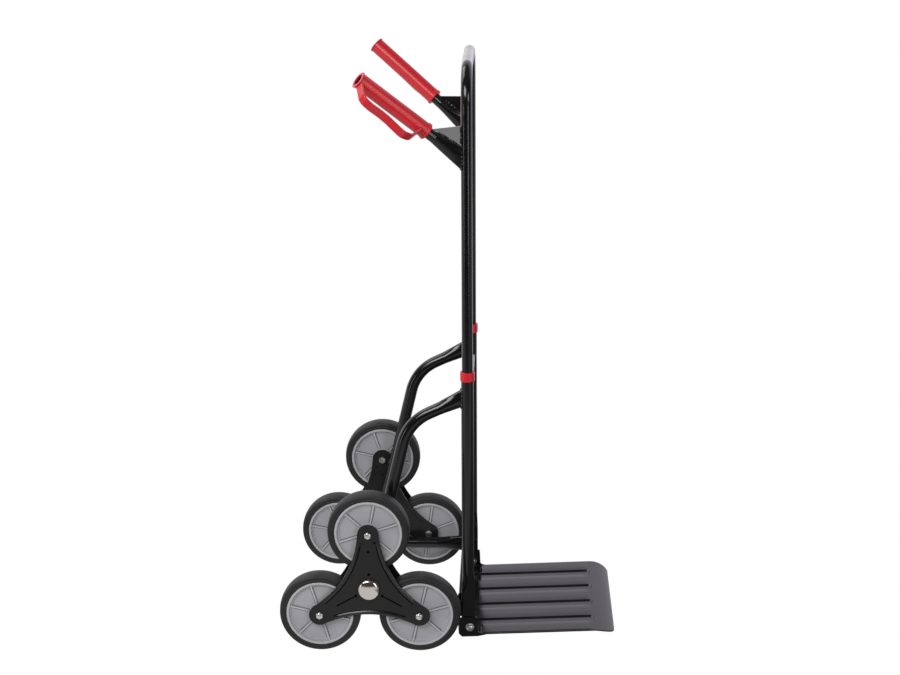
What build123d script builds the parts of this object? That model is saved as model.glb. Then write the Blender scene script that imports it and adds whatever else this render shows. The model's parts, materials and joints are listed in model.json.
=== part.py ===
"""Stair-climbing hand truck: telescopic tube frame, folding toe plate and two clusters of three wheels.

All sizes are millimetres. X points forward over the toe plate, Y to the truck's left and Z up.
The origin is on the floor, at the middle of the truck's length and width.
"""
import os
from math import acos, asin, cos, degrees, radians, sin, sqrt

from build123d import *

os.makedirs("parts", exist_ok=True)

# Driving dimensions: wheels and clusters
wheel_diameter = 160.0
wheel_pitch = 195.0  # between two wheel axles of one cluster
track = 413.0  # between the middle planes of the left and right wheels
hub_x = -152.5
wheel_radius = wheel_diameter / 2
pitch_radius = wheel_pitch / sqrt(3)
hub_z = wheel_radius + pitch_radius / 2

# Driving dimensions: frame
upright_x = 38.6
frame_y = 163.0  # tube axes of the uprights and the wheel arms
truck_height = 1144.0
lower_radius = 12.0
lower_wall = 1.2
upper_radius = 10.5
upper_wall = 1.5
lower_top = 554.5
upper_bottom = 440.0  # lower end of the upper frame, pulled out
neck_top = 140.0  # the lower tube is round above this height
neck_bottom = 100.0  # and pressed flat below this one
loop_bend = 65.0

# Driving dimensions: hinge and toe plate
hinge_x = 42.0
hinge_z = 27.0
toe_reach = 287.1  # from the hinge axis to the front edge
toe_tilt = 2.6  # degrees that the plate rises to the front
sheet = 2.5
foot_width = 26.6
foot_thickness = 8.0
foot_y = 161.0
ear_sheet = 2.0
gap = 0.3  # clearance between pieces that turn past each other

# Tubes and rods
arm_radius = 12.0
arm_wall = 1.6
axle_radius = 7.5
cross_radius = 10.0
handle_radius = 11.0
handle_wall = 1.5
running_fit = 0.05

lower_bore = lower_radius - lower_wall
upper_bore = upper_radius - upper_wall
loop_z = truck_height - upper_radius
SIDES = {"left": 1, "right": -1}


def save(piece: BuildPart, name: str) -> None:
    """Label a finished piece and write it to its own file."""
    piece.part.label = name
    export_step(piece.part, f"parts/{name}.step")


def side_plane(y: float) -> Plane:
    """Plane square to Y at the given height of Y: its local x is X and its local y is Z."""
    return Plane.XZ.offset(-y)


def facing_out(side: int, distance: float, x: float, z: float) -> Plane:
    """Plane at a distance from the middle of the truck, facing outwards on the given side."""
    return Plane((x, side * distance, z), x_dir=(side, 0, 0), z_dir=(0, side, 0))


# Lower uprights: round tube above, pressed flat below to carry the hinge bolt
def lower_tube(name: str, side: int) -> None:
    with BuildPart() as tube:
        with BuildSketch(side_plane(side * foot_y)):
            with Locations((upright_x, (hinge_z + neck_bottom) / 2)):
                Rectangle(foot_width, neck_bottom - hinge_z)
            with Locations((upright_x, hinge_z)):
                Circle(foot_width / 2)
            with Locations((hinge_x, hinge_z)):
                Circle(hinge_bolt_radius, mode=Mode.SUBTRACT)
        extrude(amount=foot_thickness / 2, both=True)
        rims = tube.faces().filter_by(Axis.Y).edges()
        outline = rims.filter_by(lambda e: e.center().Z < neck_bottom - 1 and e.length > foot_width)
        fillet(outline, radius=3)
        with BuildSketch(Plane((upright_x, side * foot_y, neck_bottom))):
            RectangleRounded(foot_width, foot_thickness, 3)
        with BuildSketch(Plane((upright_x, side * frame_y, neck_top))):
            Circle(lower_radius)
        loft()
        with BuildSketch(Plane((upright_x, side * frame_y, neck_top))):
            Circle(lower_radius)
            Circle(lower_bore, mode=Mode.SUBTRACT)
        extrude(amount=lower_top - neck_top)
    save(tube, name)


# Red collars: capped rings on the lower tubes that guide the upper frame
collar_radius = 14.0
collar_bottom = 541.0
collar_top = 559.0


def collar(name: str, side: int) -> None:
    base = Plane((upright_x, side * frame_y, collar_bottom))
    with BuildPart() as ring:
        with BuildSketch(base):
            Circle(collar_radius)
        extrude(amount=collar_top - collar_bottom)
        fillet(ring.edges().filter_by(GeomType.CIRCLE), radius=1.2)
        with BuildSketch(base):
            Circle(lower_radius)
        extrude(amount=lower_top - collar_bottom, mode=Mode.SUBTRACT)
        with BuildSketch(base):
            Circle(upper_radius + running_fit)
        extrude(amount=collar_top - collar_bottom, mode=Mode.SUBTRACT)
    save(ring, name)


# Wheel arms: one bent tube per side from the upright down round the axle and back to the foot
arm_corner_x, arm_corner_z = -76.2, 456.0
arm_top_z = 510.0
arm_low_z = 66.0
arm_lean = (arm_corner_x - hub_x) / (arm_corner_z - hub_z)
arm_upper_bend = 92.0
arm_lower_bend = 50.0
arm_flare = 62.0  # length over which an arm's end is pressed flat
arm_flat_width = 35.0
arm_flat_thickness = 9.0


def wheel_arm(name: str, side: int) -> None:
    low_x = hub_x - (hub_z - arm_low_z) * arm_lean
    rise = Vector(upright_x - arm_corner_x, arm_top_z - arm_corner_z).normalized()
    top = (upright_x - arm_flare * rise.X, arm_top_z - arm_flare * rise.Y)
    foot_end = upright_x - foot_width / 2
    with BuildPart() as arm:
        with BuildLine(side_plane(side * frame_y)) as path:
            FilletPolyline(
                top,
                (arm_corner_x, arm_corner_z),
                (low_x, arm_low_z),
                (foot_end - arm_flare, arm_low_z),
                radius=[arm_upper_bend, arm_lower_bend],
            )
        with BuildSketch(Plane(path.line @ 0, z_dir=path.line % 0)):
            Circle(arm_radius)
            Circle(arm_radius - arm_wall, mode=Mode.SUBTRACT)
        sweep(path=path.line)
        ends = ((path.line @ 0, -(path.line % 0)), (path.line @ 1, path.line % 1))
        for start, heading in ends:
            near_end = Plane(start, x_dir=(0, 1, 0), z_dir=heading)
            far_end = near_end.offset(arm_flare)
            for inset, mode in ((0, Mode.ADD), (arm_wall, Mode.SUBTRACT)):
                with BuildSketch(near_end):
                    Circle(arm_radius - inset)
                with BuildSketch(far_end):
                    SlotOverall(arm_flat_width - 2 * inset, arm_flat_thickness - 2 * inset, rotation=90)
                loft(mode=mode)
        with BuildSketch(Plane((upright_x, side * frame_y, neck_top))):
            Circle(lower_radius)
        extrude(amount=lower_top - neck_top, mode=Mode.SUBTRACT)
        with BuildSketch(side_plane(side * frame_y)):
            with Locations((hub_x, hub_z)):
                Circle(axle_radius)
        extrude(amount=2 * arm_radius, both=True, mode=Mode.SUBTRACT)
    save(arm, name)


# Axle and the two tubes that brace the uprights
hub_half = 24.0  # from a wheel's middle plane to the outside of its spider plates
flange = 2.0
axle_half = track / 2 + hub_half + 6.5
spacer_radius = 11.0
washer_radius = 13.0
washer_thickness = 2.0
clip_rim = 3.0
clip_thickness = 1.5


def axle_group() -> None:
    with BuildPart() as axle:
        with BuildSketch(side_plane(0)):
            with Locations((hub_x, hub_z)):
                Circle(axle_radius)
        extrude(amount=axle_half, both=True)
        chamfer(axle.edges().filter_by(GeomType.CIRCLE), length=1)
    save(axle, "axle")

    inner_face = track / 2 - hub_half - flange - gap
    outer_face = track / 2 + hub_half + flange + gap
    with BuildPart() as spacers:
        for side in SIDES.values():
            ring = axle_ring(side, frame_y + arm_radius, spacer_radius)
            extrude(ring, amount=inner_face - frame_y - arm_radius)
    save(spacers, "axle_spacers")
    with BuildPart() as washers:
        for side in SIDES.values():
            extrude(axle_ring(side, outer_face, washer_radius), amount=washer_thickness)
    save(washers, "axle_washers")
    clip_face = outer_face + washer_thickness
    with BuildPart() as clips:
        for side in SIDES.values():
            extrude(axle_ring(side, clip_face, axle_radius + clip_rim), amount=clip_thickness)
    save(clips, "axle_clips")


def axle_ring(side: int, distance: float, radius: float) -> Sketch:
    """Outline of a ring round the axle, at a distance from the middle of the truck."""
    with BuildSketch(facing_out(side, distance, hub_x, hub_z)) as ring:
        Circle(radius)
        Circle(axle_radius, mode=Mode.SUBTRACT)
    return ring.sketch


cross_x, cross_z = 29.5, 88.0
brace_z = 492.0
brace_radius = 8.0


def cross_tubes() -> None:
    reach = foot_y - foot_thickness / 2
    with BuildPart() as lower:
        with BuildSketch(side_plane(0)):
            with Locations((cross_x, cross_z)):
                Circle(cross_radius)
                Circle(cross_radius - arm_wall, mode=Mode.SUBTRACT)
        extrude(amount=reach, both=True)
    save(lower, "lower_cross_tube")
    with BuildPart() as upper:
        with BuildSketch(side_plane(0)):
            with Locations((upright_x, brace_z)):
                Circle(brace_radius)
                Circle(brace_radius - arm_wall, mode=Mode.SUBTRACT)
        extrude(amount=frame_y, both=True)
        for side in SIDES.values():
            with BuildSketch(Plane((upright_x, side * frame_y, neck_top))):
                Circle(lower_radius)
            extrude(amount=lower_top - neck_top, mode=Mode.SUBTRACT)
    save(upper, "upper_cross_tube")


# Hinge bolts, washers and nuts: the toe plate's ears turn on the bolts outside the feet
hinge_bolt_radius = 4.0
hinge_hex = 13.0
hinge_head = 5.3
hinge_nut = 6.5
thread_excess = 1.5  # how far a hinge bolt stands out of its nut
hinge_washer_radius = 8.5
hinge_washer = 1.2
ear_inner = foot_y + foot_thickness / 2 + gap
ear_outer = ear_inner + ear_sheet


def hinge_hardware() -> None:
    washer_face = ear_outer + gap
    head_face = washer_face + hinge_washer
    nut_face = foot_y - foot_thickness / 2
    with BuildPart() as bolts:
        for side in SIDES.values():
            with BuildSketch(facing_out(side, nut_face - hinge_nut - thread_excess, hinge_x, hinge_z)):
                Circle(hinge_bolt_radius)
            extrude(amount=head_face - nut_face + hinge_nut + thread_excess)
            with BuildSketch(facing_out(side, head_face, hinge_x, hinge_z)):
                RegularPolygon(hinge_hex / 2, 6, major_radius=False)
            extrude(amount=hinge_head, taper=4)
    save(bolts, "hinge_bolts")
    with BuildPart() as washers:
        for side in SIDES.values():
            with BuildSketch(facing_out(side, washer_face, hinge_x, hinge_z)):
                Circle(hinge_washer_radius)
                Circle(hinge_bolt_radius, mode=Mode.SUBTRACT)
            extrude(amount=hinge_washer)
    save(washers, "hinge_washers")
    with BuildPart() as nuts:
        for side in SIDES.values():
            with BuildSketch(facing_out(side, nut_face - hinge_nut, hinge_x, hinge_z)):
                RegularPolygon(hinge_hex / 2, 6, major_radius=False)
                Circle(hinge_bolt_radius, mode=Mode.SUBTRACT)
            extrude(amount=hinge_nut)
    save(nuts, "hinge_nuts")


# Toe plate: one pressed sheet with four sunk channels, a tongue between the feet and an ear at each rear corner
plate_drop = 15.0  # from the hinge axis down to the plate's top
plate_rear = 12.0  # rear edge in front of the feet, from the hinge axis
plate_half = ear_outer
tongue_rear = -10.0  # rear edge of the tongue
tongue_gap = 0.5  # beside the feet
tongue_half = foot_y - foot_thickness / 2 - tongue_gap
corner_radius = 30.0
nose_length = 42.0  # the plate's front end bends down over this length
nose_dip = 12.0
channel_rows = (-111.0, -37.0, 37.0, 111.0)
channel_end = 252.0
channel_half_top = 13.0
channel_half_bottom = 8.0
channel_depth = 3.0
ear_rear = 23.0
ear_front = 15.0
ear_top = 21.0
ear_bottom = 21.0
ear_sweep = hinge_z - 0.5  # nothing behind the hinge reaches farther from it, so that the floor stays clear
ear_step = 3.0  # how far an ear's front edge ends above the plate's top
ear_bends = [9, 3, 5, 1, 8]  # corner radii, from the rear top round to the plate
ear_toe = 34.0  # where the ears' lower edges run into the plate
tilt = radians(toe_tilt)
plate_frame = Plane(
    origin=(hinge_x, 0, hinge_z),
    x_dir=(cos(tilt), 0, sin(tilt)),
    z_dir=(-sin(tilt), 0, cos(tilt)),
)


def channel_outline(depth: float, row: float, half: float) -> Sketch:
    """Outline of a channel at a depth below the hinge axis: square behind and round in front."""
    straight = channel_end - channel_half_top
    with BuildSketch(plate_frame.offset(-depth)) as outline:
        with BuildLine():
            Polyline(
                (straight, row + half),
                (tongue_rear, row + half),
                (tongue_rear, row - half),
                (straight, row - half),
            )
            ThreePointArc((straight, row - half), (straight + half, row), (straight, row + half))
        make_face()
    return outline.sketch


def toe_plate() -> None:
    nose_start = toe_reach - nose_length
    nose_radius = (nose_length**2 + nose_dip**2) / (2 * nose_dip)
    nose_turn = degrees(asin(nose_length / nose_radius))
    nose_centre = (nose_start, -plate_drop - nose_radius)
    with BuildPart() as plate:
        with BuildSketch(Plane(plate_frame.origin, x_dir=plate_frame.x_dir, z_dir=(0, -1, 0))):
            with BuildLine():
                above = CenterArc(nose_centre, nose_radius, 90, -nose_turn)
                below = CenterArc(nose_centre, nose_radius - sheet, 90, -nose_turn)
                Line(above @ 1, below @ 1)
                Polyline(
                    below @ 0,
                    (tongue_rear, -plate_drop - sheet),
                    (tongue_rear, -plate_drop),
                    above @ 0,
                )
            make_face()
        extrude(amount=plate_half, both=True)
        with BuildSketch(plate_frame) as plan:
            with Locations(((plate_rear + toe_reach) / 2, 0)):
                Rectangle(toe_reach - plate_rear, 2 * plate_half)
            fillet(plan.vertices().group_by(Axis.X)[-1], radius=corner_radius)
            with Locations((tongue_rear, 0)):
                Rectangle(plate_rear - tongue_rear, 2 * tongue_half, align=(Align.MIN, Align.CENTER))
        extrude(amount=-hinge_z - sheet - nose_dip, mode=Mode.INTERSECT)
        under = plate_drop + sheet
        for row in channel_rows:
            wide = channel_outline(under - 0.5, row, channel_half_top + 0.5)
            narrow = channel_outline(under + channel_depth, row, channel_half_bottom + 1.5)
            loft([wide, narrow])
        for row in channel_rows:
            wide = channel_outline(plate_drop, row, channel_half_top)
            narrow = channel_outline(plate_drop + channel_depth, row, channel_half_bottom)
            loft([wide, narrow], mode=Mode.SUBTRACT)
        # the ears' lower rear corners are round about the hinge axis and so stay clear of the floor in the fold
        low_turn = -degrees(asin(ear_bottom / ear_sweep))
        rear_turn = -180 + degrees(acos(ear_rear / ear_sweep))
        for inner_y in (ear_outer, -ear_inner):
            ear_plane = Plane((hinge_x, inner_y, hinge_z), x_dir=plate_frame.x_dir, z_dir=(0, -1, 0))
            with BuildSketch(ear_plane):
                with BuildLine():
                    heel = CenterArc((0, 0), ear_sweep, rear_turn, -180 - low_turn - rear_turn)
                    FilletPolyline(
                        heel @ 0,
                        (-ear_rear, ear_top),
                        (ear_front, ear_top),
                        (ear_front, -plate_drop + ear_step),
                        (ear_toe, -plate_drop - sheet),
                        (ear_front, -ear_bottom),
                        heel @ 1,
                        radius=ear_bends,
                    )
                make_face()
                Circle(hinge_bolt_radius + running_fit, mode=Mode.SUBTRACT)
            extrude(amount=ear_sheet)
    save(plate, "toe_plate")


# Upper frame: a loop of tube, two handles with gussets, and moulded grips with knuckle guards
handle_z = 965.0  # where a handle's axis meets the upright's axis
tip_x, tip_y, tip_z = -153.4, 229.0, 1127.5
handle_flare = 80.0
handle_flat_width = 36.0
handle_flat_thickness = 8.0


def handle_axis(side: int) -> tuple[Vector, Vector, Vector]:
    """Where a handle starts on the upright, where it ends, and the direction from start to end."""
    start = Vector(upright_x, side * frame_y, handle_z)
    tip = Vector(tip_x, side * tip_y, tip_z)
    return start, tip, (tip - start).normalized()


def loop_tube() -> None:
    with BuildPart() as loop:
        with BuildLine(Plane.YZ.offset(upright_x)) as path:
            FilletPolyline(
                (-frame_y, upper_bottom),
                (-frame_y, loop_z),
                (frame_y, loop_z),
                (frame_y, upper_bottom),
                radius=loop_bend,
            )
        with BuildSketch(Plane(path.line @ 0, z_dir=path.line % 0)):
            Circle(upper_radius)
            Circle(upper_bore, mode=Mode.SUBTRACT)
        sweep(path=path.line)
    save(loop, "loop_tube")


plug_flange = 4.0
plug_spigot = 26.0


def slide_plugs() -> None:
    with BuildPart() as plugs:
        for side in SIDES.values():
            with BuildSketch(Plane((upright_x, side * frame_y, upper_bottom))):
                Circle(upper_bore)
                Circle(upper_bore - 2, mode=Mode.SUBTRACT)
            extrude(amount=plug_spigot)
            with BuildSketch(Plane((upright_x, side * frame_y, upper_bottom - plug_flange))):
                Circle(lower_bore - running_fit)
                Circle(upper_bore - 2, mode=Mode.SUBTRACT)
            extrude(amount=plug_flange)
    save(plugs, "slide_plugs")


def upright_seat(side: int) -> Sketch:
    """Outline of the upper tube, to cut its seat out of the pieces that are welded to it."""
    with BuildSketch(Plane((upright_x, side * frame_y, upper_bottom))) as seat:
        Circle(upper_radius)
    return seat.sketch


def handle_tube(name: str, side: int) -> None:
    start, tip, heading = handle_axis(side)
    length = (tip - start).length - 3
    upright_side = heading.cross(Vector(0, 0, 1)).normalized()
    level = Vector(heading.X, heading.Y, 0).normalized()
    with BuildPart() as handle:
        round_end = Plane(start + heading * handle_flare, x_dir=upright_side, z_dir=heading)
        flat_end = Plane(start, x_dir=upright_side, z_dir=heading)
        with BuildSketch(round_end):
            Circle(handle_radius)
            Circle(handle_radius - handle_wall, mode=Mode.SUBTRACT)
        extrude(amount=length - handle_flare)
        for inset, mode in ((0, Mode.ADD), (handle_wall, Mode.SUBTRACT)):
            with BuildSketch(flat_end):
                SlotOverall(handle_flat_width - 2 * inset, handle_flat_thickness - 2 * inset, rotation=90)
            with BuildSketch(round_end):
                Circle(handle_radius - inset)
            loft(mode=mode)
        split(bisect_by=Plane(start, z_dir=level), keep=Keep.TOP)
        extrude(upright_seat(side), amount=loop_z - upper_bottom, mode=Mode.SUBTRACT)
    save(handle, name)


gusset_top = 1033.0  # at the upright
gusset_end = 1030.0  # at the grip
gusset_sheet = 3.0


def gusset(name: str, side: int) -> None:
    start, tip, heading = handle_axis(side)
    level = Vector(heading.X, heading.Y, 0)
    slope = heading.Z / level.length
    lift = handle_z + handle_radius * sqrt(1 + slope**2)
    level = level.normalized()
    web = Plane(start - Vector(0, 0, handle_z), x_dir=level, z_dir=level.cross(Vector(0, 0, 1)))
    with BuildPart() as plate:
        with BuildSketch(web):
            with BuildLine():
                Polyline(
                    (0, lift + 4),
                    (0, gusset_top),
                    ((gusset_end - lift) / slope, gusset_end),
                    close=True,
                )
            make_face()
        extrude(amount=gusset_sheet / 2, both=True)
        extrude(upright_seat(side), amount=loop_z - upper_bottom, mode=Mode.SUBTRACT)
        flat_end = Plane(start, x_dir=web.z_dir, z_dir=heading)
        with BuildSketch(flat_end):
            SlotOverall(handle_flat_width, handle_flat_thickness, rotation=90)
        with BuildSketch(flat_end.offset(handle_flare)):
            Circle(handle_radius)
        loft(mode=Mode.SUBTRACT)
        with BuildSketch(flat_end.offset(handle_flare)):
            Circle(handle_radius)
        extrude(amount=handle_flare, mode=Mode.SUBTRACT)
    save(plate, name)


grip_length = 163.0
grip_radius = 15.0
grip_flange = 16.4
tip_flange = 3.0
inner_flange = 6.0
guard_width = 16.0
guard_sheet = 5.0
guard_drop = 28.0  # degrees that the guard hangs below level
# a guard's middle line: distances from the grip's outer end and from its axis
guard_line = ((5, 13), (14, 52), (30, 57.5), (64, 55.5), (108, 68), (126, 58), (146, 13))
guard_bends = [14, 40, 100, 20, 20]


def grip(name: str, side: int) -> None:
    start, tip, heading = handle_axis(side)
    inward = -heading
    outboard = heading.cross(Vector(0, 0, side)).normalized()
    below = (inward * inward.Z - Vector(0, 0, 1)).normalized()
    droop = radians(guard_drop)
    guard_way = outboard * cos(droop) + below * sin(droop)
    mouth = Plane(tip, x_dir=guard_way, z_dir=inward)
    guard_plane = Plane(tip, x_dir=inward, z_dir=inward.cross(guard_way))
    with BuildPart() as moulding:
        with BuildSketch(mouth):
            Circle(grip_radius)
        extrude(amount=grip_length)
        for offset, length in ((0, tip_flange), (grip_length - inner_flange, inner_flange)):
            with BuildSketch(mouth.offset(offset)):
                Circle(grip_flange)
            extrude(amount=length)
        fillet(moulding.edges().filter_by(GeomType.CIRCLE).filter_by(
            lambda e: e.radius > grip_radius + 1), radius=1.2)
        with BuildLine(guard_plane) as path:
            FilletPolyline(*guard_line, radius=guard_bends)
        with BuildSketch(Plane(path.line @ 0, x_dir=guard_plane.z_dir, z_dir=path.line % 0)):
            RectangleRounded(guard_width, guard_sheet, 2)
        sweep(path=path.line)
        with BuildSketch(mouth):
            Circle(handle_radius)
        extrude(amount=grip_length, mode=Mode.SUBTRACT)
    save(moulding, name)


# Wheel clusters: two pressed spider plates on a hub tube, with three wheels on sleeved bolts
plate_sheet = 3.0
arm_tip = 21.0  # radius of a spider plate's round arm ends
waist = 54.0  # from the hub's axis to the hollow flank between two arms
bead_inset = 6.5
bead_width = 3.0
bead_depth = 1.1
crease_width = 3.0
bead_limit = 92.0  # the pressed beads end at this distance from the hub's axis
crease_start = 33.0
crease_end = 74.0
small_hole = 2.2
hub_tube_radius = 15.0
hub_bush_radius = 11.0
hub_bush_length = 20.0
sleeve_radius = 6.0
wheel_bolt_radius = 4.0
wheel_hex = 13.0
wheel_head = 5.5
wheel_nut = 6.0
cap_radius = 21.0
cap_height = 12.0
cap_sheet = 1.0
slack = waist - arm_tip
flank_centre = (pitch_radius**2 - slack**2) / (pitch_radius - 2 * slack)
flank_radius = flank_centre - waist
ARMS = {"top": 90, "rear": 210, "front": 330}


def hub_plane(y: float) -> Plane:
    """Plane square to the axle, centred on it: its local x is X and its local y is Z."""
    return Plane((hub_x, y, hub_z), x_dir=(1, 0, 0), z_dir=(0, -1, 0))


def flank_points() -> list[Vector]:
    """Where the round arm ends of a spider plate run into its hollow flanks."""
    points = []
    for angle in ARMS.values():
        end = Vector(pitch_radius, 0).rotate(Axis.Z, angle)
        for turn in (-60, 60):
            centre = Vector(flank_centre, 0).rotate(Axis.Z, angle + turn)
            points.append(end + (centre - end).normalized() * arm_tip)
    return points


def spider_plate(name: str, side: int, low: float, high: float, face: float) -> None:
    """One spider plate between two distances from the middle of the truck, pressed on the given face."""
    with BuildPart() as plate:
        with BuildSketch(hub_plane(side * (low + high) / 2)):
            Polygon(*flank_points(), align=None)
            with PolarLocations(flank_centre, 3, start_angle=30):
                Circle(flank_radius, mode=Mode.SUBTRACT)
            with PolarLocations(pitch_radius, 3, start_angle=90):
                Circle(arm_tip)
            with PolarLocations(pitch_radius, 3, start_angle=90):
                Circle(wheel_bolt_radius, mode=Mode.SUBTRACT)
            with PolarLocations(crease_start - 3, 3, start_angle=90):
                Circle(small_hole, mode=Mode.SUBTRACT)
            with Locations((-12.5, pitch_radius - 16), (12.5, pitch_radius - 16), (0, pitch_radius - 35)):
                Circle(small_hole, mode=Mode.SUBTRACT)
            Circle(hub_tube_radius, mode=Mode.SUBTRACT)
        extrude(amount=(high - low) / 2, both=True)
        with BuildSketch(hub_plane(side * face)):
            for turn in (30, 150, 270):
                with PolarLocations(flank_centre, 1, start_angle=turn):
                    Circle(flank_radius + bead_inset + bead_width)
                    Circle(flank_radius + bead_inset, mode=Mode.SUBTRACT)
            Circle(bead_limit, mode=Mode.INTERSECT)
            with PolarLocations((crease_start + crease_end) / 2, 2, start_angle=210, angular_range=240):
                SlotOverall(crease_end - crease_start, crease_width)
        extrude(amount=bead_depth, both=True, mode=Mode.SUBTRACT)
    save(plate, name)


def turned(side: int, x: float, z: float, *points: tuple[float, float]) -> Sketch:
    """Profile to turn about a line along Y, from radii and distances from the middle of the truck."""
    with BuildSketch(Plane((x, 0, z), x_dir=(1, 0, 0), z_dir=(0, 0, side))) as profile:
        Polygon(*points, align=None)
    return profile.sketch


def cluster(side_name: str, side: int) -> None:
    """The pieces of one cluster that turn together on the axle."""
    middle = track / 2
    outside, inside = middle + hub_half, middle - hub_half
    spider_plate(f"{side_name}_outer_spider", side, outside - plate_sheet, outside, outside)
    spider_plate(f"{side_name}_inner_spider", side, inside, inside + plate_sheet, inside)
    spin = Axis((hub_x, 0, hub_z), (0, 1, 0))

    with BuildPart() as tube:
        revolve(turned(
            side, hub_x, hub_z,
            (hub_bush_radius, inside), (hub_tube_radius, inside),
            (hub_tube_radius, outside), (hub_bush_radius, outside),
        ), axis=spin)
    save(tube, f"{side_name}_hub_tube")

    with BuildPart() as bushes:
        for end, way in ((outside, 1), (inside, -1)):
            revolve(turned(
                side, hub_x, hub_z,
                (axle_radius + running_fit, end - way * hub_bush_length),
                (hub_bush_radius, end - way * hub_bush_length),
                (hub_bush_radius, end),
                (hub_tube_radius, end),
                (hub_tube_radius, end + way * flange),
                (axle_radius + running_fit, end + way * flange),
            ), axis=spin)
    save(bushes, f"{side_name}_hub_bushes")

    dome_radius = (cap_radius**2 + cap_height**2) / (2 * cap_height)
    dome_centre = outside + cap_height - dome_radius
    with BuildPart() as cap:
        with BuildSketch(Plane((hub_x, 0, hub_z), x_dir=(1, 0, 0), z_dir=(0, 0, side))):
            with Locations((0, dome_centre)):
                Circle(dome_radius)
                Circle(dome_radius - cap_sheet, mode=Mode.SUBTRACT)
            with Locations((0, outside)):
                Rectangle(cap_radius, cap_height, align=(Align.MIN, Align.MIN), mode=Mode.INTERSECT)
        revolve(axis=spin)
    save(cap, f"{side_name}_hub_cap")

    with BuildPart() as sleeves:
        with BuildSketch(hub_plane(side * middle)):
            with PolarLocations(pitch_radius, 3, start_angle=90):
                Circle(sleeve_radius)
            with PolarLocations(pitch_radius, 3, start_angle=90):
                Circle(wheel_bolt_radius, mode=Mode.SUBTRACT)
        extrude(amount=hub_half - plate_sheet, both=True)
    save(sleeves, f"{side_name}_wheel_sleeves")

    with BuildPart() as bolts:
        with BuildSketch(hub_plane(side * (outside + inside - wheel_nut - 1) / 2)):
            with PolarLocations(pitch_radius, 3, start_angle=90):
                Circle(wheel_bolt_radius)
        extrude(amount=hub_half + (wheel_nut + 1) / 2, both=True)
        with BuildSketch(hub_plane(side * (outside + wheel_head / 2))):
            with PolarLocations(pitch_radius, 3, start_angle=90):
                RegularPolygon(wheel_hex / 2, 6, major_radius=False)
        extrude(amount=wheel_head / 2, both=True)
        crowns = bolts.faces().sort_by(Axis.Y)[-3:] if side > 0 else bolts.faces().sort_by(Axis.Y)[:3]
        chamfer(crowns.edges(), length=1)
    save(bolts, f"{side_name}_wheel_bolts")

    with BuildPart() as nuts:
        with BuildSketch(hub_plane(side * (inside - wheel_nut / 2))):
            with PolarLocations(pitch_radius, 3, start_angle=90):
                RegularPolygon(wheel_hex / 2, 6, major_radius=False)
            with PolarLocations(pitch_radius, 3, start_angle=90):
                Circle(wheel_bolt_radius, mode=Mode.SUBTRACT)
        extrude(amount=wheel_nut / 2, both=True)
    save(nuts, f"{side_name}_wheel_nuts")


# Wheels: a ribbed plastic rim, a rubber tyre in its groove and two flanged bushes
rim_half = 17.7
rim_lip = 65.7
rim_groove = 62.5
groove_half = 13.5
ring_inner = 61.0
dish_rim = 12.0  # half thickness of the disc at the rim ring
dish_hub = 13.5  # and at the boss
boss_radius = 20.0
boss_half = 18.0
rib_half = 15.2
rib_width = 3.6
tyre_half = 18.0
tyre_shoulder = 7.5
wheel_bush_radius = 9.0
bush_flange_radius = 12.0
bush_flange = 2.5
RIB_TURN = {
    "right_top": 18.5, "right_rear": 46.5, "right_front": 17.0,
    "left_top": 48.0, "left_rear": 50.0, "left_front": 22.0,
}


def wheel(name: str, side: int, arm_angle: float) -> None:
    x = hub_x + pitch_radius * cos(radians(arm_angle))
    z = hub_z + pitch_radius * sin(radians(arm_angle))
    middle = track / 2
    spin = Axis((x, 0, z), (0, 1, 0))

    half_outline = (
        (wheel_bush_radius, boss_half),
        (boss_radius - 1, boss_half),
        (boss_radius, boss_half - 1),
        (boss_radius + 0.5, dish_hub),
        (ring_inner - 0.5, dish_rim),
        (ring_inner, rim_half - 0.7),
        (ring_inner + 0.7, rim_half),
        (rim_lip - 0.7, rim_half),
        (rim_lip, rim_half - 0.7),
        (rim_lip, groove_half),
        (rim_groove, groove_half),
    )
    outer_half = [(radius, middle + offset) for radius, offset in half_outline]
    inner_half = [(radius, middle - offset) for radius, offset in reversed(half_outline)]
    with BuildPart() as rim:
        revolve(turned(side, x, z, *outer_half, *inner_half), axis=spin)
        with BuildSketch(Plane((x, side * middle, z), x_dir=(1, 0, 0), z_dir=(0, -1, 0))):
            with PolarLocations((boss_radius + ring_inner) / 2, 6, start_angle=RIB_TURN[name]):
                Rectangle(ring_inner - boss_radius + 1, rib_width)
        extrude(amount=rib_half, both=True)
    save(rim, f"{name}_rim")

    with BuildPart() as tyre:
        with BuildSketch(Plane((x, 0, z), x_dir=(1, 0, 0), z_dir=(0, 0, side))) as section:
            Polygon(
                (rim_groove, middle - groove_half),
                (rim_lip, middle - groove_half),
                (rim_lip, middle - tyre_half),
                (wheel_radius, middle - tyre_half),
                (wheel_radius, middle + tyre_half),
                (rim_lip, middle + tyre_half),
                (rim_lip, middle + groove_half),
                (rim_groove, middle + groove_half),
                align=None,
            )
            fillet(section.vertices().group_by(Axis.X)[-1], radius=tyre_shoulder)
        revolve(axis=spin)
    save(tyre, f"{name}_tyre")

    with BuildPart() as bushes:
        for way in (1, -1):
            revolve(turned(
                side, x, z,
                (sleeve_radius + running_fit, middle + way * 2),
                (wheel_bush_radius, middle + way * 2),
                (wheel_bush_radius, middle + way * boss_half),
                (bush_flange_radius, middle + way * boss_half),
                (bush_flange_radius, middle + way * (boss_half + bush_flange)),
                (sleeve_radius + running_fit, middle + way * (boss_half + bush_flange)),
            ), axis=spin)
    save(bushes, f"{name}_bushes")


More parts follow.
